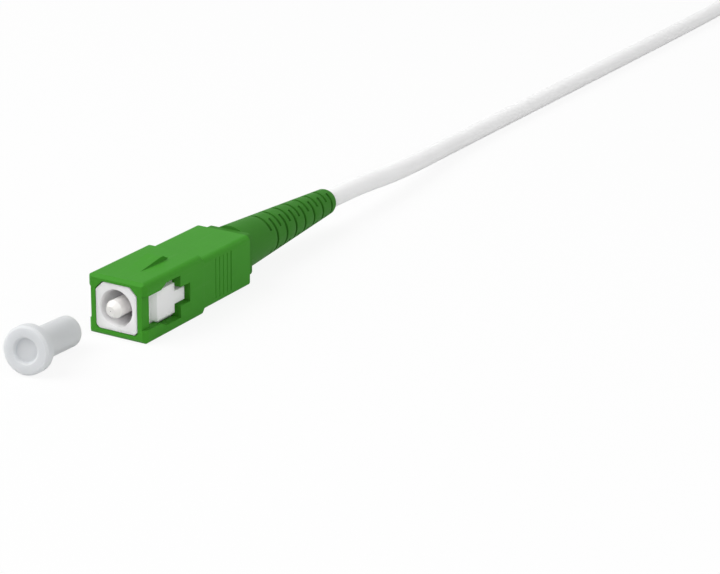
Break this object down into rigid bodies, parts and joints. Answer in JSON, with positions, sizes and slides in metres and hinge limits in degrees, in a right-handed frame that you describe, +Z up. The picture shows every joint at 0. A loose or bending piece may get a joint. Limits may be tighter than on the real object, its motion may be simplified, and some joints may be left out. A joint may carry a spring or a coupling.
{
  "type": "sc fibre connector",
  "caption": "Green angled-polish fibre optic plug with a sliding outer housing, sprung ceramic ferrule, slotted strain relief boot, white cable and a dust cap lying beside it.",
  "frame": {"origin": "centre of the ferrule's polished end face, on the optical axis", "axes": "+Y along the optical axis from the end face towards the cable, +Z up on the key side, +X to the right as seen from behind; the front faces -Y"},
  "size_m": [0.0277, 0.3029, 0.0126],
  "materials": {
    "green_housing": "moulded green plastic, light satin gloss",
    "white_frame": "moulded white plastic, satin",
    "ceramic": "polished zirconia ceramic",
    "nickel_flange": "nickel-plated brass",
    "glass_core": "silica fibre",
    "buffer_jacket": "tight buffer on the fibre",
    "spring_steel": "stainless spring wire",
    "post_plastic": "moulded plastic",
    "yarn": "aramid yarn",
    "crimp_metal": "plated crimp sleeve",
    "cable_skin": "soft white cable jacket",
    "green_boot": "soft green moulded boot",
    "cap_plastic": "translucent soft plastic",
    "tie_band": "woven hook tie"
  },
  "bodies": {
    "frame_body": {"plug_frame": "white_frame", "ferrule_spring": "spring_steel", "back_post": "post_plastic", "aramid_yarn": "yarn", "crimp_sleeve": "crimp_metal", "cable_jacket": "cable_skin", "strain_relief_boot": "green_boot", "dust_cap": "cap_plastic", "cable_lead": "cable_skin", "cable_hank": "cable_skin", "hank_tie": "tie_band"},
    "housing_body": {"outer_housing": "green_housing"},
    "ferrule_body": {"ferrule": "ceramic", "ferrule_flange": "nickel_flange", "glass_fibre": "glass_core", "buffered_fibre": "buffer_jacket"}
  },
  "joints": [
    {"name": "housing_slide", "type": "slide", "parent": "frame_body", "child": "housing_body", "axis": [0, 1, 0], "range_m": [0, 0.001]},
    {"name": "ferrule_float", "type": "slide", "parent": "frame_body", "child": "ferrule_body", "axis": [0, 1, 0], "range_m": [0, 0.001], "stiffness_N_per_m": 3000, "deforming": ["ferrule_spring"]}
  ]
}
